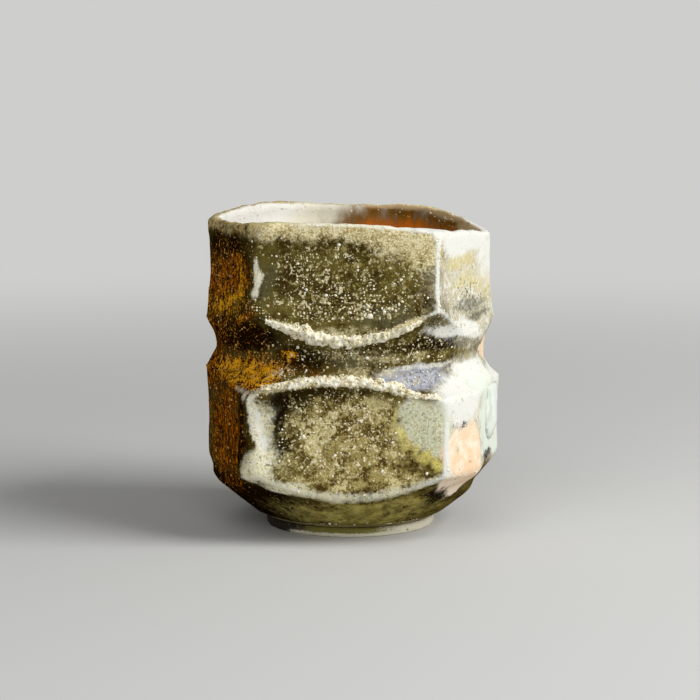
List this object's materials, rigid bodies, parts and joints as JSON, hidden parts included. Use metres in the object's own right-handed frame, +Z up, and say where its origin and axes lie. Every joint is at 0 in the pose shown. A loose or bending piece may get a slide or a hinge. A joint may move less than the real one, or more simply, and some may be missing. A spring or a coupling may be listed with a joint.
{
  "type": "sake cup",
  "caption": "Wood-fired stoneware sake cup with a turned waist, hollow-cut facets above and below it, ash glaze inside and out, and a low foot ring.",
  "frame": {"origin": "centre of the foot ring's face, on the surface that the cup stands on", "axes": "+Z up along the cup's axis, -Y towards the front facets, +X to the viewer's right"},
  "size_m": [0.0651, 0.0633, 0.0688],
  "materials": {
    "clay": "bare fired stoneware, matt",
    "foot_clay": "pale bare clay, matt",
    "ash_glaze": "runny ash glaze, speckled, half gloss",
    "liner_glaze": "pale glaze, gloss",
    "ash_crust": "rough half-melted ash, matt",
    "run_glass": "thick pale green glass, gloss",
    "feldspar": "white grains of feldspar, half gloss"
  },
  "bodies": {
    "root": {"stoneware_body": "clay", "foot_ring": "foot_clay", "ash_glaze": "ash_glaze", "liner_glaze": "liner_glaze", "upper_ash_crust": "ash_crust", "lower_ash_crust": "ash_crust", "glaze_run": "run_glass", "feldspar_grains": "feldspar"}
  },
  "joints": []
}
